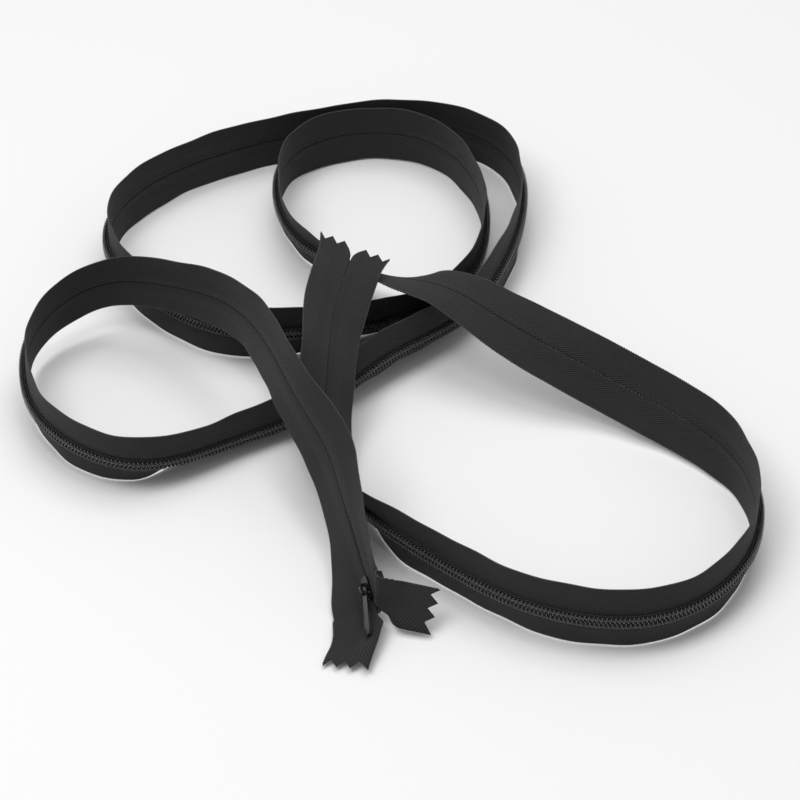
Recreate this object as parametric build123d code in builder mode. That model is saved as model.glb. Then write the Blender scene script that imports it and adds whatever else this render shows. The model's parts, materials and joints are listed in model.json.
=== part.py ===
from build123d import *
from math import ceil, cos, radians, sin
import os

import numpy as np
from scipy.interpolate import CubicSpline

# Concealed (invisible) nylon-coil zipper, closed, lying in three loose loops.
# Millimetres, +Z up, the floor at Z = 0, the closed length running from the
# bottom end (tape tips near the middle) to the top end (slider, front).
# "Left" and "right" are seen from the face with the top end upwards.

# ---- driving dimensions ----
TAPE_WIDTH = 12.5          # one tape, from seam to selvedge, closed
TAPE_THICK = 0.5
HALF_THICK = TAPE_THICK / 2
SEAM_HALF_GAP = 0.35       # from the seam's middle to each folded edge
FOLD_GAP = 0.1             # air between the tape and its folded-under edge
FOLD_REACH = 3.2           # how far the folded edge runs back under the tape
FLEX_START = 3.8           # the tape stays flat this far from the seam
FLEX_DIP = 0.03            # slight hollow along the line where the tape flexes
COIL_WIDTH = 2.0
COIL_HEIGHT = 1.55
COIL_WALL = 0.4
COIL_CLEAR = 0.05
CORD_CLEAR = 0.08
STITCH_WIDTH = 1.2
STITCH_HEIGHT = 0.45
STITCH_INSET = 0.4         # from the coil's outer side to the stitching
BAR_HOLLOW = 0.04          # slight hollow along the back of the cord and the stitching
SECTION_STEP = 12.0        # spacing of the sections along the chain
LEFT_TAIL_STEP = 4.0       # and along each tail
RIGHT_TAIL_STEP = 5.0
LINE_SAMPLES = 4000        # points used to measure along a curved line

TOOTH_COUNT = 3            # pinked (zigzag) teeth across one tape end
TOOTH_DEPTH = 3.2
CUT_BEYOND = 1.0           # the toothed cutter reaches this far past the tape's end

STOP_LENGTH = 2.5
STOP_CLEAR = 0.3
STOP_HEIGHT = 1.2
STOP_ROUND = 0.35

SLIDER_LENGTH = 10.0
SLIDER_TRAVEL = 20.0
SLIDER_END_CLEAR = 1.0     # slider's top end to the top stops, at rest
SLIDER_WALL = 0.8
SLIDER_FLOOR = 0.8
FLOOR_CLEAR = 0.4
CROWN_CLEAR = 0.45
CROWN_WIDTH = 3.4
CROWN_THICK = 0.7
CROWN_ROUND = 1.2
CROWN_INSET = 1.0          # how much shorter the crown is than the channel
CHANNEL_ROUND = 0.6
MOUTH_FLARE = 1.0          # how much wider each side of the mouth is
MOUTH_LENGTH = 7.5         # length of the flared part
NECK_HALF = 0.22
NECK_LENGTH = 4.0
NECK_ROUND = 0.2
SIDE_CLEAR = 0.2
HINGE_CLEAR = 0.3          # slider's top end to the hinge, fully drawn down
LEG_GAP = 0.1              # saw-cut width between the chain and each leg
RIGHT_SWING = 2.0          # degrees that the right leg swings out
LEFT_SWING = 5.0
SWING_MARGIN = 0.5

ARCH_INNER = 1.5           # the bridge is a half ring round the pull's rim
ARCH_WALL = 0.8
ARCH_WIDTH = 1.2
ARCH_AT = 5.5              # along the slider
AXIS_LIFT = 0.6            # the pull's turning line above the crown; clears the rim's corners

PULL_LENGTH = 19.0
PULL_RIM = 0.8
PULL_NECK_AT = 3.6
PULL_NARROW = 2.7
PULL_WIDE = 3.2
PULL_THICK = 0.8
PULL_HOLE_LENGTH = 2.2
PULL_REST = 14.0           # degrees that the resting pull stands off the face
EYE_PLAY = 0.15
ARCH_SINK = 0.1            # the bridge's feet reach this far into the crown

TAIL_UNFOLD = 3.0          # extra width where the folded edge opens flat

# ---- how the chain lies ----
# Each station is (x, y, z of the seam, roll of the face, left fold, right fold).
# Roll 0 faces up, 90 stands with the face to the left of the run and -90 with
# the face to the right. A fold lifts that tape's selvedge towards the face, in degrees.
BOTTOM_END = [
    (-17, 46, 38, 16, 0, 0),
    (-21, 27, 38, 22, 0, 0),
    (-25, 5, 35, 32, 0, 0),
    (-26.5, -14, 31, 41, 0, 0),
    (-27.5, -33, 21.5, 40, 0, 0),
    (-25, -54, 14, 40, 0, 0),
    (-16, -71, 12, 62, 0, 0),
]
RIGHT_LOOP = [
    (-3, -89, 13, 82, 0, 0),
    (17, -108, 13, 86, 4, 4),
    (46, -129, 13, 90, 8, 8),
    (83, -136, 13, 91, 8, 8),
    (112, -119, 13, 88, 6, 6),
    (127, -84, 13, 88, 2, 2),
    (121, -48, 13, 76, 2, 2),
    (101, -24, 13, 56, 2, 2),
    (75, -7, 18, 47, 0, 0),
    (55, 3, 24, 32, 0, 0),
    (37, 15, 28, 14, 0, 0),
    (19, 28, 31, -2, 0, 0),
    (4, 37, 29, -16, 0, 0),
]
SMALL_LOOP = [
    (-7, 51, 21, -36, 0, 0),
    (-20, 65, 15, -56, 0, 0),
    (-37, 82, 13, -72, 0, 0),
    (-47, 105, 13, -85, 0, 0),
    (-46, 136, 13, -92, 0, 0),
    (-27, 155, 13, -90, 0, 0),
    (6, 155, 13, -92, 0, 0),
    (27, 132, 13, -92, 0, 0),
    (33, 94, 13, -87, 0, 0),
    (24, 57, 12, -78, 8, 8),
    (4, 40, 10, -68, 18, 18),
]
BACK_LOOP = [
    (-24, 29, 12, -72, 12, 12),
    (-61, 26, 13, -90, 0, 0),
    (-94, 46, 13, -90, 0, 0),
    (-114, 80, 13, -90, 0, 0),
    (-105, 116, 13, -90, 2, 4),
    (-67, 146, 13, -95, 2, 2),
    (-27, 161, 13, -94, 4, 4),
    (12, 164, 13, -92, 4, 4),
    (42, 144, 13, -92, 0, 0),
    (48, 106, 13, -88, 0, 0),
    (40, 68, 13, -92, 2, 2),
    (24, 39, 11, -78, 20, 20),
]
LEFT_LOOP = [
    (-7, 10, 11, -80, 24, 24),
    (-33, -15.5, 8, -80, 24, 60),
    (-62, -33.5, 8, -74, 18, 62),
    (-95, -51, 12, -72, 16, 6),
    (-124, -37, 13, -82, 8, 0),
    (-138, -12, 14, -88, 4, 4),
    (-137, 19, 19, -96, 0, 0),
    (-114, 39, 25, -98, 0, 0),
    (-86, 31, 30, -94, 0, 0),
    (-64, 12, 36, -86, 0, 0),
    (-47, -23.5, 42, -76, 0, 0),
    (-37, -47.5, 39, -72, 0, 2),
    (-23.5, -74.5, 29, -66, -12, 2),
]
# The last stretch, which the slider runs along, is straight.
RUN_FINISH = [(-9, -122, 7.5, -66, 17, 49)]
# Folds on the straight stretch: (distance along it, left fold, right fold).
RUN_FOLDS = [(6, -17, 2), (16, 6, 2), (26, 20, 6), (41, 17, 30), (47, 17, 49)]
# The tape tails beyond the coil, along the unfolded edge line.
LEFT_TAIL = [(-4.5, -129, 6, -58, 10, 0), (9, -133.5, 4.2, -50, 0, 0)]
RIGHT_TAIL = [(-10.5, -134, 3.4, -32, 0, 24), (-14.5, -149.5, 2, -4, 0, 1)]
# The stations' own zero, moved so that the origin is under the middle of the whole.
MIDDLE = (-6.4, 9.45, -0.43)


def centred(stations):
    return [
        (x - MIDDLE[0], y - MIDDLE[1], z - MIDDLE[2], roll, left_fold, right_fold)
        for x, y, z, roll, left_fold, right_fold in stations
    ]


STATIONS = centred(BOTTOM_END + RIGHT_LOOP + SMALL_LOOP + BACK_LOOP + LEFT_LOOP)
TAIL_START = centred(RUN_FINISH)
RUN_END = TAIL_START[0][:3]

RUN_START = np.array(STATIONS[-1][:3], float)
RUN_VECTOR = np.array(RUN_END) - RUN_START
RUN_LENGTH = float(np.linalg.norm(RUN_VECTOR))
RUN_DIRECTION = RUN_VECTOR / RUN_LENGTH
RUN_ROLL = STATIONS[-1][3]
SLIDER_TOP = RUN_LENGTH - SLIDER_END_CLEAR
HINGE_AT = SLIDER_TOP - SLIDER_TRAVEL + HINGE_CLEAR


def section_plane(place, along, roll):
    """The plane across the chain: X towards the left tape, Y out of the face."""
    along = np.array(along) / np.linalg.norm(along)
    level = np.array([-along[1], along[0], 0.0])
    level = level / np.linalg.norm(level)
    upward = np.cross(along, level)
    turn = radians(roll)
    leftward = cos(turn) * level - sin(turn) * upward
    return Plane(origin=tuple(place), x_dir=tuple(leftward), z_dir=tuple(along))


def stretch(stations, first_along, last_along, step):
    """Section planes, with their folds, evenly along a smooth line through the stations."""
    table = np.array(stations, float)
    chords = np.sqrt(np.linalg.norm(np.diff(table[:, :3], axis=0), axis=1))
    knots = np.concatenate([[0.0], np.cumsum(chords)])

    def end_rule(along, chord):
        if along is None:
            return (2, np.zeros(table.shape[1]))
        slope = np.zeros(table.shape[1])
        slope[:3] = np.array(along) * chord
        return (1, slope)

    rules = (end_rule(first_along, chords[0]), end_rule(last_along, chords[-1]))
    line = CubicSpline(knots, table, bc_type=rules)
    fine = np.linspace(0.0, knots[-1], LINE_SAMPLES)
    places = line(fine)[:, :3]
    lengths = np.linalg.norm(np.diff(places, axis=0), axis=1)
    run = np.concatenate([[0.0], np.cumsum(lengths)])
    count = ceil(run[-1] / step)
    found = []
    for distance in np.linspace(0.0, run[-1], count + 1):
        knot = float(np.interp(distance, run, fine))
        values = line(knot)
        along = line(knot, 1)[:3]
        folds = {1: float(values[4]), -1: float(values[5])}
        found.append((section_plane(values[:3], along, values[3]), folds))
    return found


def run_plane(distance):
    """The section plane on the straight stretch, at a distance from its start."""
    return section_plane(RUN_START + RUN_DIRECTION * distance, RUN_DIRECTION, RUN_ROLL)


RUN_TABLE = np.array([(0, *STATIONS[-1][4:]), *RUN_FOLDS, (RUN_LENGTH, *TAIL_START[0][4:])], float)


def run_section(distance):
    """The section plane with its folds on the straight stretch."""
    left_fold = float(np.interp(distance, RUN_TABLE[:, 0], RUN_TABLE[:, 1]))
    right_fold = float(np.interp(distance, RUN_TABLE[:, 0], RUN_TABLE[:, 2]))
    return (run_plane(distance), {1: left_fold, -1: right_fold})


LOOSE = stretch(STATIONS, None, RUN_DIRECTION, SECTION_STEP)
BELOW_HINGE = [row[0] for row in RUN_FOLDS if row[0] < HINGE_AT]
ABOVE_HINGE = [row[0] for row in RUN_FOLDS if row[0] > HINGE_AT]
CHAIN = LOOSE + [run_section(distance) for distance in [*BELOW_HINGE, HINGE_AT - LEG_GAP]]
COILED = CHAIN[1:]
LEG = [run_section(distance) for distance in [HINGE_AT, *ABOVE_HINGE, RUN_LENGTH]]
LEFT_END = stretch(TAIL_START + centred(LEFT_TAIL), RUN_DIRECTION, None, LEFT_TAIL_STEP)
RIGHT_END = stretch(TAIL_START + centred(RIGHT_TAIL), RUN_DIRECTION, None, RIGHT_TAIL_STEP)


# ---- cross-sections; side is +1 for the left tape and -1 for the right ----
def tape_outline(side, folds):
    turn = radians(folds[side])
    reach = TAPE_WIDTH - FLEX_START
    tip_x = FLEX_START + reach * cos(turn)
    tip_y = reach * sin(turn)
    off_x = HALF_THICK * sin(turn)
    off_y = HALF_THICK * cos(turn)
    under = HALF_THICK + FOLD_GAP
    points = [
        (SEAM_HALF_GAP, HALF_THICK),
        (FLEX_START, HALF_THICK - FLEX_DIP),
        (tip_x - off_x, tip_y + off_y),
        (tip_x + off_x, tip_y - off_y),
        (FLEX_START, -HALF_THICK - FLEX_DIP),
        (SEAM_HALF_GAP + TAPE_THICK, -HALF_THICK),
        (SEAM_HALF_GAP + TAPE_THICK, -under),
        (FOLD_REACH, -under),
        (FOLD_REACH, -under - TAPE_THICK),
        (SEAM_HALF_GAP, -under - TAPE_THICK),
    ]
    return [(side * x, y) for x, y in points]


COIL_TOP = -(HALF_THICK + FOLD_GAP + TAPE_THICK + COIL_CLEAR)
COIL_BOTTOM = COIL_TOP - COIL_HEIGHT
COIL_OUTER = SEAM_HALF_GAP + COIL_WIDTH
STITCH_BOTTOM = COIL_BOTTOM - COIL_CLEAR - STITCH_HEIGHT


def coil_outline(side, folds):
    inner = SEAM_HALF_GAP + COIL_WALL
    points = [
        (SEAM_HALF_GAP, COIL_TOP),
        (COIL_OUTER, COIL_TOP),
        (COIL_OUTER, COIL_TOP - COIL_WALL),
        (inner, COIL_TOP - COIL_WALL),
        (inner, COIL_BOTTOM + COIL_WALL),
        (COIL_OUTER, COIL_BOTTOM + COIL_WALL),
        (COIL_OUTER, COIL_BOTTOM),
        (SEAM_HALF_GAP, COIL_BOTTOM),
    ]
    return [(side * x, y) for x, y in points]


def bar_outline(side, low_x, high_x, low_y, high_y):
    points = [
        (low_x, low_y),
        ((low_x + high_x) / 2, low_y + BAR_HOLLOW),
        (high_x, low_y),
        (high_x, high_y),
        (low_x, high_y),
    ]
    return [(side * x, y) for x, y in points]


def cord_outline(side, folds):
    inner = SEAM_HALF_GAP + COIL_WALL + CORD_CLEAR
    low = COIL_BOTTOM + COIL_WALL + CORD_CLEAR
    high = COIL_TOP - COIL_WALL - CORD_CLEAR
    return bar_outline(side, inner, COIL_OUTER, low, high)


def stitch_outline(side, folds):
    high_x = COIL_OUTER - STITCH_INSET
    low_x = high_x - STITCH_WIDTH
    return bar_outline(side, low_x, high_x, STITCH_BOTTOM, STITCH_BOTTOM + STITCH_HEIGHT)


def tail_outline(side, inner, folds):
    turn = radians(folds[side])
    reach = TAPE_WIDTH - FLEX_START
    tip_x = FLEX_START + reach * cos(turn)
    tip_y = reach * sin(turn)
    off_x = HALF_THICK * sin(turn)
    off_y = HALF_THICK * cos(turn)
    points = [
        (inner, HALF_THICK),
        (FLEX_START, HALF_THICK - FLEX_DIP),
        (tip_x - off_x, tip_y + off_y),
        (tip_x + off_x, tip_y - off_y),
        (FLEX_START, -HALF_THICK - FLEX_DIP),
        (inner, -HALF_THICK),
    ]
    return [(side * x, y) for x, y in points]


def strand(sections, outline, side):
    """One continuous piece whose outline follows the sections."""
    with BuildPart() as piece:
        for plane, folds in sections:
            with BuildSketch(plane):
                with BuildLine():
                    Polyline(*outline(side, folds), close=True)
                make_face()
        loft(ruled=True)
    return piece


def pink(piece, plane, outward, side, inner):
    """Zigzag teeth cut into a tape end; outward is the sign of the way out along the run."""
    flat = Plane(origin=plane.origin, x_dir=plane.x_dir, z_dir=plane.y_dir)
    out = -outward
    pitch = (TAPE_WIDTH - inner) / TOOTH_COUNT
    with BuildPart() as cutter:
        with BuildSketch(flat):
            for tooth in range(TOOTH_COUNT + 1):
                middle = inner + tooth * pitch
                with BuildLine():
                    Polyline(
                        (side * (middle - pitch / 2), -out * CUT_BEYOND),
                        (side * (middle - pitch / 2), 0),
                        (side * middle, out * TOOTH_DEPTH),
                        (side * (middle + pitch / 2), 0),
                        (side * (middle + pitch / 2), -out * CUT_BEYOND),
                        close=True,
                    )
                make_face()
        extrude(amount=4 * TAPE_THICK, both=True)
    with BuildPart() as cut:
        add(piece.part)
        add(cutter.part, mode=Mode.SUBTRACT)
    return cut


def keep_beyond_hinge(piece, side):
    """Trims a leg's start so that it can swing outwards without touching the chain."""
    tilt = radians((LEFT_SWING if side > 0 else RIGHT_SWING) + SWING_MARGIN)
    across = run_plane(HINGE_AT)
    normal = across.z_dir * cos(tilt) - across.x_dir * side * sin(tilt)
    with BuildPart() as trimmed:
        add(piece.part)
        split(bisect_by=Plane(origin=across.origin, z_dir=normal), keep=Keep.TOP)
    return trimmed


# ---- the chain: tapes, coils, cords and stitching below the hinge ----
left_tape = pink(strand(CHAIN, tape_outline, 1), CHAIN[0][0], -1, 1, SEAM_HALF_GAP)
right_tape = pink(strand(CHAIN, tape_outline, -1), CHAIN[0][0], -1, -1, SEAM_HALF_GAP)
left_coil = strand(COILED, coil_outline, 1)
right_coil = strand(COILED, coil_outline, -1)
left_cord = strand(COILED, cord_outline, 1)
right_cord = strand(COILED, cord_outline, -1)
left_stitching = strand(COILED, stitch_outline, 1)
right_stitching = strand(COILED, stitch_outline, -1)


STANDING = (Align.CENTER, Align.MIN)


def stop_block(plane, low_x, high_x):
    """A small crimped stop that blocks the coil's path, on the coil side."""
    with BuildPart() as block:
        with BuildSketch(plane):
            with Locations(((low_x + high_x) / 2, COIL_BOTTOM)):
                Rectangle(high_x - low_x, STOP_HEIGHT, align=STANDING)
        extrude(amount=STOP_LENGTH)
        fillet(block.edges().filter_by(Axis(plane.origin, plane.z_dir)), STOP_ROUND)
    return block


def moved_along(plane, distance):
    return Plane(
        origin=plane.origin + plane.z_dir * distance, x_dir=plane.x_dir, z_dir=plane.z_dir
    )


first_turn = COILED[0][0]
bottom_stop = stop_block(
    moved_along(first_turn, -STOP_LENGTH - STOP_CLEAR), -COIL_OUTER, COIL_OUTER
)


# ---- the two legs above the hinge, which part as the slider comes down ----
def leg_tape(side, sections):
    """A leg's folded tape with its unfolded, pinked tail."""
    with BuildPart() as tail:
        last = len(sections) - 1
        for number, (plane, folds) in enumerate(sections):
            inner = SEAM_HALF_GAP - (SEAM_HALF_GAP + TAIL_UNFOLD) * number / last
            with BuildSketch(plane):
                with BuildLine():
                    Polyline(*tail_outline(side, inner, folds), close=True)
                make_face()
        loft(ruled=True)
    tail = pink(tail, sections[-1][0], 1, side, -TAIL_UNFOLD)
    folded = strand(LEG, tape_outline, side)
    with BuildPart() as whole:
        add(folded.part)
        add(tail.part)
    return keep_beyond_hinge(whole, side)


left_tape_end = leg_tape(1, LEFT_END)
right_tape_end = leg_tape(-1, RIGHT_END)
left_coil_end = keep_beyond_hinge(strand(LEG, coil_outline, 1), 1)
right_coil_end = keep_beyond_hinge(strand(LEG, coil_outline, -1), -1)
left_cord_end = keep_beyond_hinge(strand(LEG, cord_outline, 1), 1)
right_cord_end = keep_beyond_hinge(strand(LEG, cord_outline, -1), -1)
left_stitching_end = keep_beyond_hinge(strand(LEG, stitch_outline, 1), 1)
right_stitching_end = keep_beyond_hinge(strand(LEG, stitch_outline, -1), -1)

coil_end = run_plane(RUN_LENGTH + STOP_CLEAR)
left_top_stop = stop_block(coil_end, SEAM_HALF_GAP, COIL_OUTER)
right_top_stop = stop_block(coil_end, -COIL_OUTER, -SEAM_HALF_GAP)


# ---- slider: channel behind the coils, neck through the seam, crown and bridge ----
FLOOR_TOP = STITCH_BOTTOM - FLOOR_CLEAR
FLOOR_BOTTOM = FLOOR_TOP - SLIDER_FLOOR
WALL_INSIDE = FOLD_REACH + SIDE_CLEAR
WALL_OUTSIDE = WALL_INSIDE + SLIDER_WALL
WALL_TOP = -(HALF_THICK + FOLD_GAP + TAPE_THICK)
CROWN_BOTTOM = HALF_THICK + CROWN_CLEAR
CROWN_TOP = CROWN_BOTTOM + CROWN_THICK
slider_start = run_plane(SLIDER_TOP - SLIDER_LENGTH)
# a plane lying on the face: X along the run, Y towards the left tape
slider_face = Plane(
    origin=slider_start.origin, x_dir=slider_start.z_dir, z_dir=slider_start.y_dir
)


def level(height):
    """A plane parallel to the face, this far out of it."""
    return slider_face.offset(height)


def channel_plan(half_width):
    """Half plan of the slider: straight, then flaring to the mouth. Left side outline."""
    straight = SLIDER_LENGTH - MOUTH_LENGTH
    return [
        (0, -half_width),
        (straight, -half_width),
        (SLIDER_LENGTH, -half_width - MOUTH_FLARE),
        (SLIDER_LENGTH, half_width + MOUTH_FLARE),
        (straight, half_width),
        (0, half_width),
    ]


AXIS_LEVEL = CROWN_TOP + AXIS_LIFT
HANGING = (Align.CENTER, Align.MAX)
# across the slider's middle: X along the run, Y out of the face
arch_plane = Plane(
    origin=slider_face.origin, x_dir=slider_face.x_dir, z_dir=-slider_face.y_dir
)

with BuildPart() as slider_body:
    with BuildSketch(level(FLOOR_BOTTOM)):
        with BuildLine():
            Polyline(*channel_plan(WALL_OUTSIDE), close=True)
        make_face()
    extrude(amount=WALL_TOP - FLOOR_BOTTOM)
    fillet(slider_body.edges().filter_by(Axis(slider_face.origin, slider_face.z_dir)), CHANNEL_ROUND)
    with BuildSketch(level(FLOOR_TOP)):
        with BuildLine():
            Polyline(*channel_plan(WALL_INSIDE), close=True)
        make_face()
    extrude(amount=WALL_TOP - FLOOR_TOP, mode=Mode.SUBTRACT)
    with BuildSketch(level(FLOOR_TOP - SLIDER_FLOOR / 2)):
        with Locations((SLIDER_LENGTH / 2, 0)):
            RectangleRounded(NECK_LENGTH, 2 * NECK_HALF, NECK_ROUND)
    extrude(amount=CROWN_BOTTOM - FLOOR_TOP + SLIDER_FLOOR)
    with BuildSketch(level(CROWN_BOTTOM)):
        with Locations((SLIDER_LENGTH / 2, 0)):
            RectangleRounded(SLIDER_LENGTH - CROWN_INSET, CROWN_WIDTH, CROWN_ROUND)
    extrude(amount=CROWN_THICK)
    with BuildSketch(arch_plane):
        with Locations((ARCH_AT, AXIS_LEVEL)):
            Circle(ARCH_INNER + ARCH_WALL)
            Rectangle(2 * (ARCH_INNER + ARCH_WALL), 2 * AXIS_LIFT, align=HANGING)
            Circle(ARCH_INNER, mode=Mode.SUBTRACT)
            Rectangle(2 * ARCH_INNER, 2 * ARCH_INNER, align=HANGING, mode=Mode.SUBTRACT)
        with Locations((ARCH_AT, CROWN_TOP - ARCH_SINK)):
            Rectangle(SLIDER_LENGTH, 2 * ARCH_INNER, align=HANGING, mode=Mode.SUBTRACT)
    extrude(amount=ARCH_WIDTH / 2, both=True)

# ---- pull: a narrow eye that widens to a rounded teardrop blade ----
axle = level(AXIS_LEVEL).origin + slider_face.x_dir * ARCH_AT
rest = radians(PULL_REST)
# a plane through the axle: X along the pull, Y towards the left tape
pull_plane = Plane(
    origin=axle,
    x_dir=slider_face.x_dir * cos(rest) + slider_face.z_dir * sin(rest),
    z_dir=slider_face.z_dir * cos(rest) - slider_face.x_dir * sin(rest),
)

with BuildPart() as pull_tab:
    with BuildSketch(pull_plane.offset(-PULL_THICK / 2)):
        with BuildLine():
            start = -PULL_RIM / 2
            end = start + PULL_LENGTH
            wide_at = end - PULL_WIDE / 2
            Polyline(
                (wide_at, -PULL_WIDE / 2),
                (start + PULL_NECK_AT, -PULL_NARROW / 2),
                (start, -PULL_NARROW / 2),
                (start, PULL_NARROW / 2),
                (start + PULL_NECK_AT, PULL_NARROW / 2),
                (wide_at, PULL_WIDE / 2),
            )
            ThreePointArc((wide_at, PULL_WIDE / 2), (end, 0), (wide_at, -PULL_WIDE / 2))
        make_face()
    extrude(amount=PULL_THICK)
    with BuildSketch(pull_plane.offset(-PULL_THICK / 2)):
        with Locations((start + PULL_RIM + PULL_HOLE_LENGTH / 2, 0)):
            Rectangle(PULL_HOLE_LENGTH, ARCH_WIDTH + 2 * EYE_PLAY)
    extrude(amount=PULL_THICK, mode=Mode.SUBTRACT)

# ---- files ----
PIECES = {
    "left_tape": left_tape,
    "right_tape": right_tape,
    "left_coil": left_coil,
    "right_coil": right_coil,
    "left_cord": left_cord,
    "right_cord": right_cord,
    "left_stitching": left_stitching,
    "right_stitching": right_stitching,
    "bottom_stop": bottom_stop,
    "left_tape_end": left_tape_end,
    "right_tape_end": right_tape_end,
    "left_coil_end": left_coil_end,
    "right_coil_end": right_coil_end,
    "left_cord_end": left_cord_end,
    "right_cord_end": right_cord_end,
    "left_stitching_end": left_stitching_end,
    "right_stitching_end": right_stitching_end,
    "left_top_stop": left_top_stop,
    "right_top_stop": right_top_stop,
    "slider_body": slider_body,
    "pull_tab": pull_tab,
}
os.makedirs("parts", exist_ok=True)
for label, piece in PIECES.items():
    piece.part.label = label
    export_step(piece.part, f"parts/{label}.step")

whole = Compound(children=[piece.part for piece in PIECES.values()]).bounding_box()
print("hinge", tuple(run_plane(HINGE_AT).origin))
print("run direction", tuple(RUN_DIRECTION))
print("face", tuple(slider_face.z_dir))
print("left", tuple(slider_face.y_dir))
print("pull axle", tuple(axle))
print("box", whole.min, whole.max, "middle", whole.center())
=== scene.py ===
import itertools
import json
import math

import bpy
import numpy as np
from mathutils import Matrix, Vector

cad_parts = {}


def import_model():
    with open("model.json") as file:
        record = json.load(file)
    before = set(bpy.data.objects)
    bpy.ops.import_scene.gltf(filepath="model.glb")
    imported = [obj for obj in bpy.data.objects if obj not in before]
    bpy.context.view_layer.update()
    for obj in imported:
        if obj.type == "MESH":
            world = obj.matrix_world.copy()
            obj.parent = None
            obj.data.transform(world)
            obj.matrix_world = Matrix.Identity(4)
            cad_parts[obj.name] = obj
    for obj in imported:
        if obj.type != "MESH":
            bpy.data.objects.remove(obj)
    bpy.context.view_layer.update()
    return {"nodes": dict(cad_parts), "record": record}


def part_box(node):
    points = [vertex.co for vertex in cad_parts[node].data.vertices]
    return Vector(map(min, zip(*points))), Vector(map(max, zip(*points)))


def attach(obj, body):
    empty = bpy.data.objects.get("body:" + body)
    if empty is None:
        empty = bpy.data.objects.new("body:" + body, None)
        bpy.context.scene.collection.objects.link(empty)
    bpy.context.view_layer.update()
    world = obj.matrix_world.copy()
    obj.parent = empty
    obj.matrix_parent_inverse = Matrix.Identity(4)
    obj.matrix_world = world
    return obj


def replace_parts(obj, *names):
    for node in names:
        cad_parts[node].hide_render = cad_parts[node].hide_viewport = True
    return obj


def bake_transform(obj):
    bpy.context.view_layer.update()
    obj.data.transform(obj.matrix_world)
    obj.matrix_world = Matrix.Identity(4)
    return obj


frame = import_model()

MM = 0.001
NODES = frame["nodes"]
JOINTS = {joint["name"]: joint for joint in frame["record"]["behaviour"]["joints"]}

# ---- sizes of the zipper in millimetres ----
HALF_WIDTH = 12.5            # seam to selvedge
TAPE_THICK = 0.42
FLEX_START = 3.8             # the tapes stay flat this far from the seam
FOLD_RADIUS = 0.34           # of the folded edge, on the tape's middle layer
FOLD_AT = 0.58               # where the fold starts, from the seam
FLANGE = 1.7                 # flat width folded back under the tape
TAIL_STRETCH = 0.55          # how much wider that part is where it lies open
EDGE_PULL = 3.4              # the right tape's extra width where it bends into its tail
PULL_FROM = 34.0             # it starts this far before the coil's end
PULL_RISE = 30.0
PULL_TO = 22.0               # and is gone this far beyond it
PULL_FALL = 18.0
NECK_FROM = 20.0             # the folds begin to stand back this far before the hinge
NECK_EASE = 9.0
END_SPREAD = 1.7             # gap of each tape at the very bottom end
SPREAD_LENGTH = 10.0
NECK_ROOM = 0.26             # each fold stands this far back along the slider's run
CORD_DEPTH = 1.675           # coil and cord centre below the face
RING_CORNERS = 5             # corners of the CAD cord's cross-section
RING_DEPTH = 1.726           # their mean below the face
NEAR_SECTION = 0.3           # a CAD corner this close to a section's plane belongs to it,
NEAR_SELVEDGE = 0.2          # and this close to the selvedge's distance is on the selvedge
COIL_MIDDLE = 0.96           # coil's middle, from the seam
COIL_REACH = 1.1             # half of the coil's width and of its height
COIL_RISE = 0.5
WIRE_RADIUS = 0.27
PITCH = 1.5                  # one coil turn
BARE_END = 12.0              # tape beyond the coil's bottom end
TOOTH_COUNT = 3
TOOTH_DEPTH = 3.2
TOOTH_EASE = 6.0             # the mesh rows straighten over this length from a pinked end
EDGE_TAPER = 0.4             # the cloth thins this close to the selvedge
FLEX_WIDTH = 2.0             # the bend beyond the flex line takes up this width
FOLD_ANGLE = 178.0           # degrees that the edge is folded under, and where it lies open
OPEN_ANGLE = 10.0
RIPPLES = [(0.30, 9.5), (0.22, 5.3), (0.12, 2.9)]  # (height, length) of the selvedge's waves
TOP_START = 24.0             # the top pieces start this far below the hinge
UNFOLD_LENGTH = 12.0
FLOOR_GAP = 0.02             # soft pieces are pressed flat where they meet the floor

FOLD_ARC = math.pi * FOLD_RADIUS
CLOTH_INNER = FOLD_AT - FOLD_ARC - FLANGE
CLOTH_WIDTH = HALF_WIDTH - CLOTH_INNER

# The tails beyond the coil: (x, y, z from the coil's end, roll of the face, left and right fold).
LEFT_TAIL = [(4.8, -3.8, -1.7, -57, 8, 0), (20.5, -8, -3, -50, 0, 0)]
RIGHT_TAIL = [(-5.3, -27.5, -5, -6, 0, 1)]
# The left tape veers outwards in its own plane before its tail: (place, degrees).
VEER = [(-26, 0), (-16, 12), (-8, 28), (-2, 42), (0, 42), (6.3, 0)]


# ---- the line the zipper follows, read from the frame ----
def merged(node):
    """Corner points of a CAD node in mm, and for each the points joined to it."""
    mesh = NODES[node].data
    count = len(mesh.vertices)
    points = np.empty(count * 3)
    mesh.vertices.foreach_get("co", points)
    points = points.reshape(-1, 3) / MM
    keys, place = np.unique(np.round(points, 3), axis=0, return_inverse=True)
    place = place.ravel()
    joined = [set() for _ in keys]
    for edge in mesh.edges:
        a, b = place[edge.vertices[0]], place[edge.vertices[1]]
        joined[a].add(b)
        joined[b].add(a)
    return keys, joined


def gaps(corners):
    """The distances between all pairs of some corners, in order of size."""
    return np.sort([np.linalg.norm(a - b) for a, b in itertools.combinations(corners, 2)])


def rings(node, start):
    """The rings of corners along a flat-sided rod, from the far end to the one nearest start."""
    points, joined = merged(node)
    ring = list(np.argsort(np.linalg.norm(points - start, axis=1))[:RING_CORNERS])
    shape = gaps(points[ring])
    seen = set(ring)
    found = [points[ring]]
    while True:
        following = sorted({n for p in ring for n in joined[p]} - seen)
        if len(following) < RING_CORNERS:
            return found[::-1]
        seen.update(following)
        groups = itertools.combinations(following, RING_CORNERS)
        ring = list(min(groups, key=lambda group: np.abs(gaps(points[list(group)]) - shape).sum()))
        found.append(points[ring])


def unit(vectors):
    return vectors / np.linalg.norm(vectors, axis=-1, keepdims=True)


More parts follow.
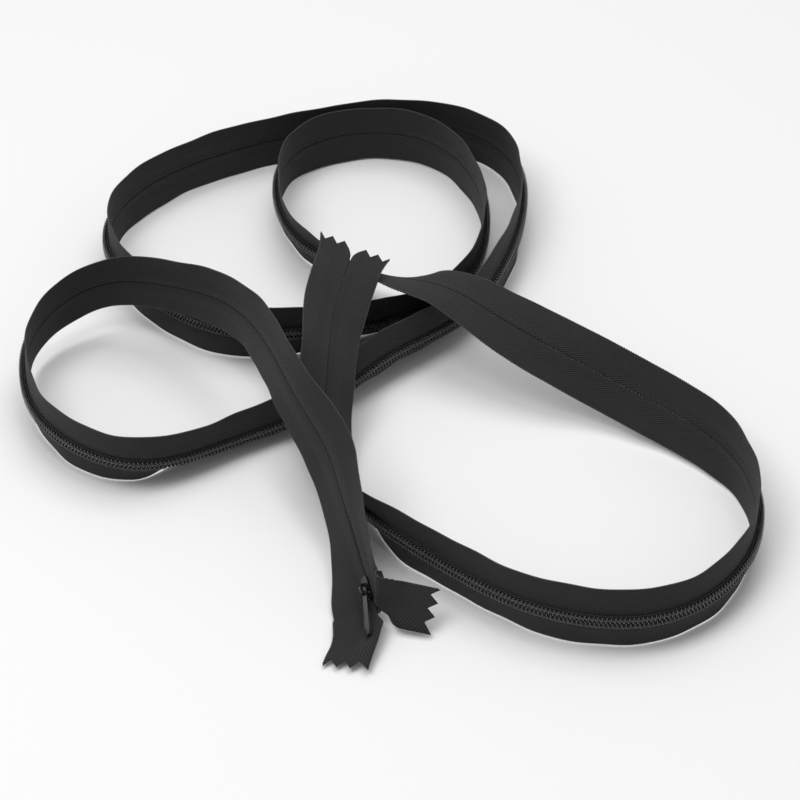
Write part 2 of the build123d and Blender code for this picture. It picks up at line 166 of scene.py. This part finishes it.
hinge = np.array(JOINTS["left_part"]["pos_m"]) / MM
stop_low, stop_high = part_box("left_top_stop")
top_end = np.array((stop_low + stop_high) / 2) / MM
left_rings = rings("left_cord", hinge) + rings("left_cord_end", top_end)[1:]
right_rings = rings("right_cord", hinge) + rings("right_cord_end", top_end)[1:]
HINGE_RING = len(rings("left_cord", hinge)) - 1
left_middles = np.array([ring.mean(0) for ring in left_rings])
right_middles = np.array([ring.mean(0) for ring in right_rings])
way = np.gradient((left_middles + right_middles) / 2, axis=0)
normals = []
for ring, direction in zip(left_rings, way):
    across = np.linalg.svd(ring - ring.mean(0))[2][2]
    normals.append(across * np.sign(across @ direction))
chain_along = unit(np.array(normals))
chain_left = left_middles - right_middles
chain_left = unit(chain_left - chain_along * (chain_left * chain_along).sum(1, keepdims=True))
chain_face = np.cross(chain_along, chain_left)
chain_place = (left_middles + right_middles) / 2 + RING_DEPTH * chain_face


def folds(word, side):
    """How far a tape's outer part is bent towards the face at each ring, in radians."""
    points = np.concatenate([merged(word + "_tape")[0], merged(word + "_tape_end")[0]])
    found = []
    for place, along, left, face in zip(chain_place, chain_along, chain_left, chain_face):
        off = points - place
        reach = np.hypot(side * (off @ left) - FLEX_START, off @ face)
        level = np.abs(off @ along) < NEAR_SECTION
        near = level & (np.abs(reach - (HALF_WIDTH - FLEX_START)) < NEAR_SELVEDGE)
        tip = off[near].mean(0)
        found.append(math.atan2(tip @ face, side * (tip @ left) - FLEX_START))
    return np.array(found)


chain_fold = np.stack([folds("left", 1), folds("right", -1)], axis=1)


def begun_earlier(place, along, left, fold, distance):
    """The line with one more straight station before its start."""
    first = (place[0] - along[0] * distance, along[0], left[0], fold[0])
    return tuple(np.concatenate([[one], rest]) for one, rest in zip(first, (place, along, left, fold)))


line = begun_earlier(chain_place, chain_along, chain_left, chain_fold, BARE_END)


def with_tail(base, tail):
    """The line continued through a tail's stations."""
    place, along, left, fold = [list(part) for part in base]
    origin = place[-1]
    stops = [origin] + [origin + np.array(row[:3]) for row in tail]
    for number, row in enumerate(tail, start=1):
        before = stops[number - 1]
        after = stops[min(number + 1, len(stops) - 1)]
        direction = unit(after - before)
        level = unit(np.array([-direction[1], direction[0], 0.0]))
        turn = math.radians(row[3])
        leftward = math.cos(turn) * level - math.sin(turn) * np.cross(direction, level)
        place.append(stops[number])
        along.append(direction)
        left.append(leftward)
        fold.append(np.radians(row[4:]))
    return tuple(np.array(part) for part in (place, along, left, fold))


def lengths(base):
    return np.concatenate([[0.0], np.cumsum(np.linalg.norm(np.diff(base[0], axis=0), axis=1))])


def sample(base, at):
    """Place, along, left, face and fold at distances along a line (smooth between stations)."""
    place, along, left, fold = base
    knots = lengths(base)
    at = np.asarray(at, float)
    k = np.clip(np.searchsorted(knots, at, side="right") - 1, 0, len(knots) - 2)
    span = knots[k + 1] - knots[k]
    t = ((at - knots[k]) / span)[:, None]
    h00, h10 = 2 * t**3 - 3 * t**2 + 1, t**3 - 2 * t**2 + t
    h01, h11 = -2 * t**3 + 3 * t**2, t**3 - t**2
    reach = span[:, None]
    spot = h00 * place[k] + h10 * reach * along[k] + h01 * place[k + 1] + h11 * reach * along[k + 1]
    rate = (6 * t**2 - 6 * t) / reach
    ahead = (
        rate * (place[k] - place[k + 1])
        + (3 * t**2 - 4 * t + 1) * along[k]
        + (3 * t**2 - 2 * t) * along[k + 1]
    )
    ahead = unit(ahead)
    slope_left = np.gradient(left, knots, axis=0)
    slope_fold = np.gradient(fold, knots, axis=0)

    def eased(values, slopes):
        return (
            h00 * values[k] + h10 * reach * slopes[k] + h01 * values[k + 1] + h11 * reach * slopes[k + 1]
        )

    side = eased(left, slope_left)
    side = unit(side - ahead * (side * ahead).sum(1, keepdims=True))
    bent = eased(fold, slope_fold)
    return spot, ahead, side, np.cross(ahead, side), bent


LEFT_LINE = with_tail(line, LEFT_TAIL)
RIGHT_LINE = with_tail(line, RIGHT_TAIL)
COIL_START = BARE_END
HINGE_AT = float(lengths(line)[HINGE_RING + 1])
COIL_END = float(lengths(line)[-1])


# ---- mesh helpers ----
def make_mesh(name, points, faces, values=None):
    """A smooth mesh object from points in mm; values are per-point numbers for the materials."""
    mesh = bpy.data.meshes.new(name)
    mesh.vertices.add(len(points))
    points = np.array(points, float)
    points[:, 2] = np.maximum(points[:, 2], FLOOR_GAP)
    mesh.vertices.foreach_set("co", (points * MM).astype(np.float32).ravel())
    faces = [np.asarray(block, np.int32) for block in faces]
    total = sum(block.size for block in faces)
    mesh.loops.add(total)
    mesh.loops.foreach_set("vertex_index", np.concatenate([block.ravel() for block in faces]))
    sizes = np.concatenate([np.full(len(block), block.shape[1], np.int32) for block in faces])
    starts = np.concatenate([[0], np.cumsum(sizes)[:-1]]).astype(np.int32)
    mesh.polygons.add(len(sizes))
    mesh.polygons.foreach_set("loop_start", starts)
    mesh.update(calc_edges=True)
    mesh.validate()
    mesh.shade_smooth()
    for key, numbers in (values or {}).items():
        layer = mesh.attributes.new(key, "FLOAT", "POINT")
        layer.data.foreach_set("value", np.asarray(numbers, np.float32).ravel())
    made = bpy.data.objects.new(name, mesh)
    bpy.context.collection.objects.link(made)
    return made


def tube_faces(rows, ring):
    """Quads of a closed-ring tube whose two end rings are doubled, and its two end caps."""
    row = np.arange(1, rows - 2)[:, None] * ring
    col = np.arange(ring)[None, :]
    following = (col + 1) % ring
    quads = np.stack([row + col, row + following, row + ring + following, row + ring + col], -1)
    first = np.arange(ring)[::-1][None, :]
    last = ((rows - 1) * ring + np.arange(ring))[None, :]
    return [quads.reshape(-1, 4), first, last]


def doubled(values):
    """The rows with the first and the last repeated, so that end caps have their own corners."""
    return np.concatenate([values[:1], values, values[-1:]])


def pick(side):
    """Which column of the folds belongs to this side."""
    return 0 if side > 0 else 1


# ---- tapes ----
def columns():
    """Places across the flat cloth, from the selvedge to the folded edge's end."""
    even = np.linspace(HALF_WIDTH, CLOTH_INNER, 4 * TOOTH_COUNT + 1)
    edge = [HALF_WIDTH - 0.3, FLEX_START]
    arc = FOLD_AT - FOLD_ARC * np.linspace(0, 1, 6)
    spread = np.unique(np.round(np.concatenate([even, edge, arc]), 4))[::-1]
    keep = [spread[0]]
    for value in spread[1:]:
        if keep[-1] - value > 0.12:
            keep.append(value)
    return np.array(keep)


ACROSS = columns()


def sheet(angle):
    """Middle of the cloth across a tape, with its folded edge turned by angle: x, y, normal x, y."""
    turned = np.clip((FOLD_AT - ACROSS) / FOLD_ARC, 0, 1)[None, :] * angle[:, None]
    beyond = np.clip(FOLD_AT - FOLD_ARC - ACROSS, 0, None)[None, :]
    radius = FOLD_ARC / np.maximum(angle, 1e-3)[:, None]
    flat = np.maximum(ACROSS, FOLD_AT)[None, :]
    x = flat - radius * np.sin(turned) - beyond * np.cos(angle)[:, None]
    y = -radius * (1 - np.cos(turned)) - beyond * np.sin(angle)[:, None]
    return x, y, -np.sin(turned), np.cos(turned)


def teeth():
    """How far each place across stands short of the pinked end's tips."""
    spot = (HALF_WIDTH - ACROSS) / CLOTH_WIDTH * TOOTH_COUNT
    return TOOTH_DEPTH * 2 * np.abs(spot - np.round(spot))


def ripple(at, side):
    """Slow waves of the loose selvedge, in mm."""
    lean = 0.7 if side > 0 else 2.1
    return sum(
        height * np.sin(at / length + number * lean)
        for number, (height, length) in enumerate(RIPPLES, start=1)
    )


def eased_step(value):
    value = np.clip(value, 0, 1)
    return value * value * (3 - 2 * value)


def neck_room(at):
    """How far the folds stand back from the seam where the slider's neck can pass."""
    return NECK_ROOM * eased_step((at - HINGE_AT + NECK_FROM) / NECK_EASE)


def veer(at, side):
    """The angle by which a tape turns outwards in its own plane, in radians."""
    if side < 0:
        return np.zeros(len(at))
    places, angles = zip(*VEER)
    return np.radians(np.interp(at - COIL_END, places, angles))


def pulled_wide(at, side):
    """How much wider the right tape is pulled where it bends into its tail, in mm."""
    if side > 0:
        return np.zeros(len(at))
    rise = eased_step((at - COIL_END + PULL_FROM) / PULL_RISE)
    return EDGE_PULL * rise * eased_step((COIL_END + PULL_TO - at) / PULL_FALL)


def end_spread(at):
    """How far the tapes stand apart at the bottom end, beyond the stop."""
    return END_SPREAD * np.clip(1 - at / SPREAD_LENGTH, 0, 1) ** 1.5


def laid(base, at, side, x, y, shift=0.0):
    """Points at x across and y out of the face of one tape, for each place along it."""
    place, along, left, face, fold = sample(base, at)
    turn = veer(at, side)[:, None, None]
    outward = side * (np.cos(turn) * left[:, None] - np.sin(turn) * along[:, None])
    ahead = np.broadcast_to(shift, x.shape)[..., None] * along[:, None]
    return place[:, None] + x[..., None] * outward + y[..., None] * face[:, None] + ahead


def bent(base, at, side, x, y):
    """Across and out-of-face places after the fold of the tape's outer part."""
    fold = sample(base, at)[4][:, pick(side), None]
    beyond = np.clip(x - FLEX_START, 0, None)
    softly = fold * np.clip(beyond / FLEX_WIDTH, 0, 1)
    reach = beyond * (1 + pulled_wide(at, side)[:, None] / (HALF_WIDTH - FLEX_START))
    return x - beyond + reach * np.cos(softly), y + reach * np.sin(softly)


def tape(name, base, low, high, side, step, cut_low=False, cut_high=False):
    """One tape as cloth with a folded edge; a cut end has pinked teeth."""
    at = np.linspace(low, high, int((high - low) / step) + 1)
    unfold = eased_step((at - COIL_END) / UNFOLD_LENGTH)
    x, y, nx, ny = sheet(np.radians(FOLD_ANGLE - (FOLD_ANGLE - OPEN_ANGLE) * unfold))
    inner = np.clip(FOLD_AT - ACROSS, 0, None)[None, :] * unfold[:, None]
    x = x + (end_spread(at) + neck_room(at))[:, None] - TAIL_STRETCH * inner
    share = np.clip((ACROSS - FLEX_START) / (HALF_WIDTH - FLEX_START), 0, 1)[None, :]
    y = y + ripple(at, side)[:, None] * share**2
    shift = np.zeros((len(at), len(ACROSS)))
    if cut_low:
        shift += teeth()[None, :] * np.clip(1 - (at - low) / TOOTH_EASE, 0, 1)[:, None]
    if cut_high:
        shift -= teeth()[None, :] * np.clip(1 - (high - at) / TOOTH_EASE, 0, 1)[:, None]
    edge = np.clip((ACROSS - HALF_WIDTH + EDGE_TAPER) / EDGE_TAPER, 0, 1)
    half = TAPE_THICK / 2 * (1 - 0.25 * edge)[None, :]
    layers = []
    for sign in (1, -1):
        spot_x, spot_y = bent(base, at, side, x + sign * nx * half, y + sign * ny * half)
        layers.append(laid(base, at, side, spot_x, spot_y, shift))
    points = doubled(np.concatenate([layers[0], layers[1][:, ::-1]], axis=1))
    rows, ring = points.shape[:2]
    across = np.concatenate([ACROSS, ACROSS[::-1]])[None, :].repeat(rows, 0)
    run = doubled(at[:, None] + np.concatenate([shift, shift[:, ::-1]], axis=1))
    quads = tube_faces(rows, ring)[0]
    caps = []
    for start, forward in ((0, side < 0), ((rows - 1) * ring, side > 0)):
        low_row = start + np.arange(len(ACROSS) - 1)
        high_row = start + ring - 1 - np.arange(len(ACROSS) - 1)
        cap = np.stack([low_row, low_row + 1, high_row - 1, high_row], -1)
        caps.append(cap if forward else cap[:, ::-1])
    quads = quads if side > 0 else quads[:, ::-1]
    return make_mesh(name, points.reshape(-1, 3), [quads] + caps, {"across": across, "along": run})


# ---- coils, cords and stitching ----
ASIDE = np.array([0.31, 0.17, 0.93])  # a direction that no tube follows
COIL_POINTS = 12                      # corners along one turn
COIL_BLUNT = 0.85                     # flattens the turn's heads
THREAD_SIDES = 5
CORD_SIDES = 6                        # corners round a cord or a selvedge
CORD_RADIUS = 0.24
CORD_STEP = 1.2
CORD_OFF = 0.35                       # from the coil's middle, away from the seam
EDGE_PITCH = 1.0                      # one loop of the selvedge
EDGE_STEP = 0.3
EDGE_RADIUS = 0.24
EDGE_LOOP = 0.1
EDGE_SWELL = 0.04
EDGE_OUT = 0.02
STITCH_AT = 1.5
STITCH_RADIUS = 0.17
STITCH_DIP = 0.2
STITCH_SWAY = 0.1
STITCH_POINTS = 5                     # corners along one stitch
STITCH_AIR = 0.02


def tube_along(name, centres, radius, sides, at):
    """A round tube of constant or changing radius round a line of centres (mm)."""
    ahead = unit(np.gradient(centres, axis=0))
    first = unit(np.cross(ahead, ASIDE))
    second = np.cross(ahead, first)
    turn = np.linspace(0, 2 * math.pi, sides, endpoint=False)
    size = np.broadcast_to(np.asarray(radius, float), (len(centres),))[:, None, None]
    points = centres[:, None] + size * (
        np.cos(turn)[None, :, None] * first[:, None] + np.sin(turn)[None, :, None] * second[:, None]
    )
    rows = len(centres) + 2
    ring_values = {"along": np.repeat(doubled(at), sides)}
    return make_mesh(name, doubled(points).reshape(-1, 3), tube_faces(rows, sides), ring_values)


def coil(name, base, low, high, side):
    """One nylon coil: a flattened spring whose heads cross the seam."""
    turns = int((high - low) / PITCH)
    turn = np.linspace(0, turns * 2 * math.pi, turns * COIL_POINTS + 1)
    offset = 0 if side > 0 else PITCH / 2
    at = low + turn / (2 * math.pi) * PITCH + offset
    at = np.clip(at, low, high)
    place, along, left, face, fold = sample(base, at)
    swing = np.cos(turn)
    across = COIL_MIDDLE - COIL_REACH * np.sign(swing) * np.abs(swing) ** COIL_BLUNT
    out = -CORD_DEPTH - COIL_RISE * np.sin(turn)
    across = across + neck_room(at)
    centres = place + (side * across)[:, None] * left + out[:, None] * face
    return tube_along(name, centres, WIRE_RADIUS, THREAD_SIDES, at)


def stitching(name, base, low, high, side):
    """Thread that runs over the back of the coil and dips between its turns."""
    count = int((high - low) / PITCH) * STITCH_POINTS
    at = np.linspace(low, high, count + 1)
    place, along, left, face, fold = sample(base, at)
    phase = at * 2 * math.pi / PITCH
    out = -CORD_DEPTH - COIL_RISE - WIRE_RADIUS - STITCH_AIR + STITCH_DIP * np.cos(phase)
    across = STITCH_AT + STITCH_SWAY * np.sin(phase)
    centres = place + (side * across)[:, None] * left + out[:, None] * face
    return tube_along(name, centres, STITCH_RADIUS, THREAD_SIDES, at)


def cord(name, base, low, high, side):
    """The filler cord inside a coil."""
    at = np.linspace(low, high, int((high - low) / CORD_STEP) + 1)
    place, along, left, face, fold = sample(base, at)
    centres = place + side * (COIL_MIDDLE + CORD_OFF) * left - CORD_DEPTH * face
    return tube_along(name, centres, CORD_RADIUS, CORD_SIDES, at)


def selvedge(name, base, low, high, side):
    """The looped outer edge of a tape."""
    at = np.arange(low, high, EDGE_STEP)
    wave = np.sin(at * 2 * math.pi / EDGE_PITCH)
    x = HALF_WIDTH + EDGE_OUT + EDGE_LOOP * wave + end_spread(at) + neck_room(at)
    spot_x, spot_y = bent(base, at, side, x[:, None], ripple(at, side)[:, None])
    centres = laid(base, at, side, spot_x, spot_y)[:, 0]
    return tube_along(name, centres, EDGE_RADIUS + EDGE_SWELL * wave, CORD_SIDES, at)


# ---- materials ----
class Nodes:
    """Short names for building a node material."""

    def __init__(self, name):
        self.material = bpy.data.materials.new(name)
        self.material.use_nodes = True
        self.tree = self.material.node_tree
        self.shader = self.tree.nodes["Principled BSDF"]

    def add(self, kind, inputs=None, **settings):
        node = self.tree.nodes.new(kind)
        for key, value in settings.items():
            setattr(node, key, value)
        for key, value in (inputs or {}).items():
            self.put(node.inputs[key], value)
        return node

    def put(self, socket, value):
        if isinstance(value, bpy.types.NodeSocket):
            self.tree.links.new(value, socket)
        else:
            socket.default_value = value

    def math(self, operation, *values):
        node = self.add("ShaderNodeMath", operation=operation)
        for number, value in enumerate(values):
            self.put(node.inputs[number], value)
        return node.outputs[0]

    def number(self, name):
        return self.add("ShaderNodeAttribute", attribute_name=name).outputs["Fac"]

    def wave(self, value, length):
        """Sine of a distance in mm, with this wavelength."""
        return self.math("SINE", self.math("MULTIPLY", value, 2 * math.pi / length))

    def noise(self, scale, detail=3.0, vector=None):
        inputs = {"Scale": scale, "Detail": detail}
        if vector is not None:
            inputs["Vector"] = vector
        return self.add("ShaderNodeTexNoise", inputs).outputs["Fac"]

    def ramp(self, value, low, high, dark, light):
        """A colour between dark and light as value goes from low to high."""
        share = self.add(
            "ShaderNodeMapRange", {"Value": value, "From Min": low, "From Max": high}
        ).outputs["Result"]
        mix = self.add("ShaderNodeMix", data_type="RGBA")
        self.put(mix.inputs["Factor"], share)
        self.put(mix.inputs["A"], (*dark, 1))
        self.put(mix.inputs["B"], (*light, 1))
        return mix.outputs["Result"]

    def finish(self, colour, roughness, height=None, strength=1.0, distance=0.0001, **extra):
        self.put(self.shader.inputs["Base Color"], colour)
        self.put(self.shader.inputs["Roughness"], roughness)
        if height is not None:
            inputs = {"Height": height, "Strength": strength, "Distance": distance}
            bump = self.add("ShaderNodeBump", inputs)
            self.put(self.shader.inputs["Normal"], bump.outputs["Normal"])
        for key, value in extra.items():
            self.put(self.shader.inputs[key.replace("_", " ")], value)
        return self.material


CHEVRON_AT = 3.0
CHEVRON_END = 7.2
CHEVRON_PITCH = 1.65
CHEVRON_SLOPE = 0.51
CHEVRON_FADE = 1.2
WEFT_PITCH = 0.62
WARP_PITCH = 0.55


def tape_material():
    n = Nodes("woven_tape")
    across, along = n.number("across"), n.number("along")
    off = n.math("ABSOLUTE", n.math("SUBTRACT", across, CHEVRON_AT))
    phase = n.math("SUBTRACT", along, n.math("DIVIDE", off, CHEVRON_SLOPE))
    chevron = n.wave(phase, CHEVRON_PITCH)
    inside = n.add(
        "ShaderNodeMapRange",
        {
            "Value": across,
            "From Min": CHEVRON_END - CHEVRON_FADE,
            "From Max": CHEVRON_END,
            "To Min": 1.0,
            "To Max": 0.0,
        },
    ).outputs["Result"]
    weft = n.wave(along, WEFT_PITCH)
    warp = n.wave(across, WARP_PITCH)
    plain = n.math("MULTIPLY", weft, warp)
    rows = n.math("MULTIPLY", chevron, inside)
    patch = n.noise(180.0, 4.0)
    fuzz = n.noise(2600.0, 2.0)
    height = n.math("ADD", n.math("MULTIPLY", rows, 1.3), n.math("MULTIPLY", plain, 0.5))
    height = n.math("ADD", height, n.math("MULTIPLY", fuzz, 0.8))
    tone = n.math("ADD", n.math("MULTIPLY", rows, 0.65), n.math("MULTIPLY", plain, 0.12))
    tone = n.math("ADD", tone, n.math("MULTIPLY", n.math("SUBTRACT", patch, 0.5), 0.9))
    tone = n.math("ADD", tone, n.math("MULTIPLY", n.math("SUBTRACT", fuzz, 0.5), 0.6))
    colour = n.ramp(tone, -0.6, 0.6, (0.0095, 0.0098, 0.0105), (0.031, 0.0315, 0.033))
    return n.finish(
        colour, 0.85, height, 0.6, 0.00012, Sheen_Weight=0.07, Sheen_Roughness=0.45, Specular_IOR_Level=0.22
    )


def edge_material():
    n = Nodes("selvedge_yarn")
    along = n.number("along")
    twist = n.wave(along, 1.15)
    colour = n.ramp(twist, -1, 1, (0.012, 0.0123, 0.013), (0.036, 0.0365, 0.038))
    return n.finish(colour, 0.8, n.noise(3500.0), 0.4, 0.0001, Sheen_Weight=0.1)


def coil_material():
    n = Nodes("nylon_coil")
    along = n.number("along")
    streak = n.noise(900.0, 2.0)
    colour = n.ramp(streak, 0.3, 0.7, (0.014, 0.014, 0.015), (0.03, 0.03, 0.031))
    slow = n.wave(along, 23.0)
    rough = n.math("ADD", 0.2, n.math("MULTIPLY", n.math("ADD", slow, streak), 0.04))
    return n.finish(
        colour, rough, streak, 0.15, 0.00005, Coat_Weight=0.6, Coat_Roughness=0.1, Specular_IOR_Level=0.75
    )


def thread_material():
    n = Nodes("sewing_thread")
    along = n.number("along")
    strand_wave = n.wave(along, 0.31)
    colour = n.ramp(strand_wave, -1, 1, (0.018, 0.018, 0.019), (0.05, 0.05, 0.052))
    return n.finish(colour, 0.6, strand_wave, 0.5, 0.00005, Sheen_Weight=0.4)


def cord_material():
    n = Nodes("filler_cord")
    along = n.number("along")
    colour = n.ramp(n.wave(along, 0.9), -1, 1, (0.012, 0.012, 0.013), (0.035, 0.035, 0.037))
    return n.finish(colour, 0.9, n.noise(4000.0), 0.5, 0.0001)


def enamel_material():
    n = Nodes("black_enamel")
    orange_peel = n.noise(420.0, 2.0)
    speck = n.noise(1500.0, 5.0)
    colour = n.ramp(speck, 0.35, 0.75, (0.003, 0.003, 0.0033), (0.009, 0.009, 0.0095))
    rough = n.math("ADD", 0.13, n.math("MULTIPLY", speck, 0.12))
    coat = {"Coat_Weight": 0.2, "Coat_Roughness": 0.06}
    return n.finish(colour, rough, orange_peel, 0.12, 0.0001, Specular_IOR_Level=0.32, **coat)


def stop_material():
    n = Nodes("stop_plastic")
    grain = n.noise(1200.0, 3.0)
    colour = n.ramp(grain, 0.3, 0.7, (0.014, 0.014, 0.015), (0.034, 0.034, 0.036))
    return n.finish(colour, n.math("ADD", 0.3, n.math("MULTIPLY", grain, 0.2)), grain, 0.3, 0.0001)


TAPE = tape_material()
EDGE = edge_material()
COIL = coil_material()
THREAD = thread_material()
CORD = cord_material()
ENAMEL = enamel_material()
STOP = stop_material()


def dress(obj, material):
    obj.data.materials.clear()
    obj.data.materials.append(material)
    return obj


# ---- build the soft and repeated pieces ----
SPLIT = HINGE_AT - TOP_START
hinge_place, hinge_along, _, _, _ = sample(line, np.array([HINGE_AT]))


def across_hinge(obj):
    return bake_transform(obj)


def tape_pair(side, word, base):
    """One tape and its selvedge, each as a lower piece and a top piece."""
    tip = float(lengths(base)[-1])
    lower = tape(word + "_tape_cloth", base, 0.0, SPLIT, side, 0.75, cut_low=True)
    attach(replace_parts(dress(lower, TAPE), word + "_tape"), "chain")
    upper = tape(word + "_tape_top", base, SPLIT, tip, side, 0.5, cut_high=True)
    across_hinge(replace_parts(dress(upper, TAPE), word + "_tape_end"))
    edge = selvedge(word + "_selvedge", base, TOOTH_DEPTH * 0.3, SPLIT, side)
    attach(dress(edge, EDGE), "chain")
    edge = selvedge(word + "_selvedge_top", base, SPLIT, tip - 0.5, side)
    across_hinge(dress(edge, EDGE))


def inner_pair(side, word, base):
    """One coil with its stitching and its cord, each as a lower piece and a top piece."""
    makers = (
        ("coil", coil, COIL, "coil"),
        ("stitching", stitching, THREAD, "thread"),
        ("cord", cord, CORD, "cord"),
    )
    for kind, maker, material, slot in makers:
        node = word + "_" + kind
        lower = maker(node + "_turns", base, COIL_START, SPLIT, side)
        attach(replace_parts(dress(lower, material), node), "chain")
        upper = maker(node + "_top", base, SPLIT, COIL_END, side)
        across_hinge(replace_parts(dress(upper, material), node + "_end"))


for side, word, base in ((1, "left", LEFT_LINE), (-1, "right", RIGHT_LINE)):
    tape_pair(side, word, base)
    inner_pair(side, word, base)


# ---- CAD pieces that keep their shape ----
def soften(node, material, width):
    obj = NODES[node]
    dress(obj, material)
    bevel = obj.modifiers.new("soft_edges", "BEVEL")
    bevel.width = width * MM
    bevel.segments = 3
    bevel.limit_method = "ANGLE"
    bevel.angle_limit = math.radians(35)
    obj.data.shade_smooth()
    weighted = obj.modifiers.new("even_shading", "WEIGHTED_NORMAL")
    weighted.keep_sharp = False
    return obj


for node in ("left_top_stop", "right_top_stop", "bottom_stop"):
    soften(node, STOP, 0.12)
soften("slider_body", ENAMEL, 0.15)
soften("pull_tab", ENAMEL, 0.22)


# ---- stage, light and camera ----
LOOK_AT = (6.4 * MM, -9.45 * MM, 0.43 * MM)
CAMERA_RISE = math.radians(39)
CAMERA_DISTANCE = 1.3
PIXELS_PER_MM = 2.65
PICTURE_SIDE = 800
SENSOR_WIDTH = 36.0
FLOOR_SIDE = 12.0  # metres


def floor():
    mesh = bpy.data.meshes.new("floor")
    side = FLOOR_SIDE / 2
    corners = [(-side, -side, 0), (side, -side, 0), (side, side, 0), (-side, side, 0)]
    mesh.from_pydata(corners, [], [(0, 1, 2, 3)])
    obj = bpy.data.objects.new("floor", mesh)
    bpy.context.collection.objects.link(obj)
    n = Nodes("pale_floor")
    cloudy = n.noise(3.0, 2.0)
    colour = n.ramp(cloudy, 0.2, 0.8, (0.82, 0.82, 0.82), (0.84, 0.84, 0.84))
    obj.data.materials.append(n.finish(colour, 0.9))


def area(name, place, aim, size, power):
    data = bpy.data.lights.new(name, "AREA")
    data.shape = "SQUARE"
    data.size = size
    data.energy = power
    obj = bpy.data.objects.new(name, data)
    obj.location = place
    direction = np.array(aim) - np.array(place)
    obj.rotation_mode = "QUATERNION"
    obj.rotation_quaternion = Vector(direction).to_track_quat("-Z", "Y")
    bpy.context.collection.objects.link(obj)


def camera():
    data = bpy.data.cameras.new("camera")
    data.sensor_width = SENSOR_WIDTH
    data.lens = PIXELS_PER_MM * CAMERA_DISTANCE / MM * SENSOR_WIDTH / PICTURE_SIDE
    data.clip_end = 50
    obj = bpy.data.objects.new("camera", data)
    back = np.array([0, -math.cos(CAMERA_RISE), math.sin(CAMERA_RISE)])
    obj.location = np.array(LOOK_AT) + back * CAMERA_DISTANCE
    obj.rotation_mode = "QUATERNION"
    obj.rotation_quaternion = Vector(-back).to_track_quat("-Z", "Y")
    bpy.context.collection.objects.link(obj)
    bpy.context.scene.camera = obj


def world():
    scene = bpy.context.scene
    scene.world = bpy.data.worlds.new("studio")
    scene.world.use_nodes = True
    back = scene.world.node_tree.nodes["Background"]
    back.inputs["Color"].default_value = (1, 1, 1, 1)
    back.inputs["Strength"].default_value = 0.5
    scene.view_settings.view_transform = "Standard"


floor()
world()
area("key", (-0.5, -0.35, 1.25), (0, 0, 0), 0.7, 8.0)
area("top", (0.15, 0.35, 1.5), (0, 0, 0), 1.0, 9.0)
camera()
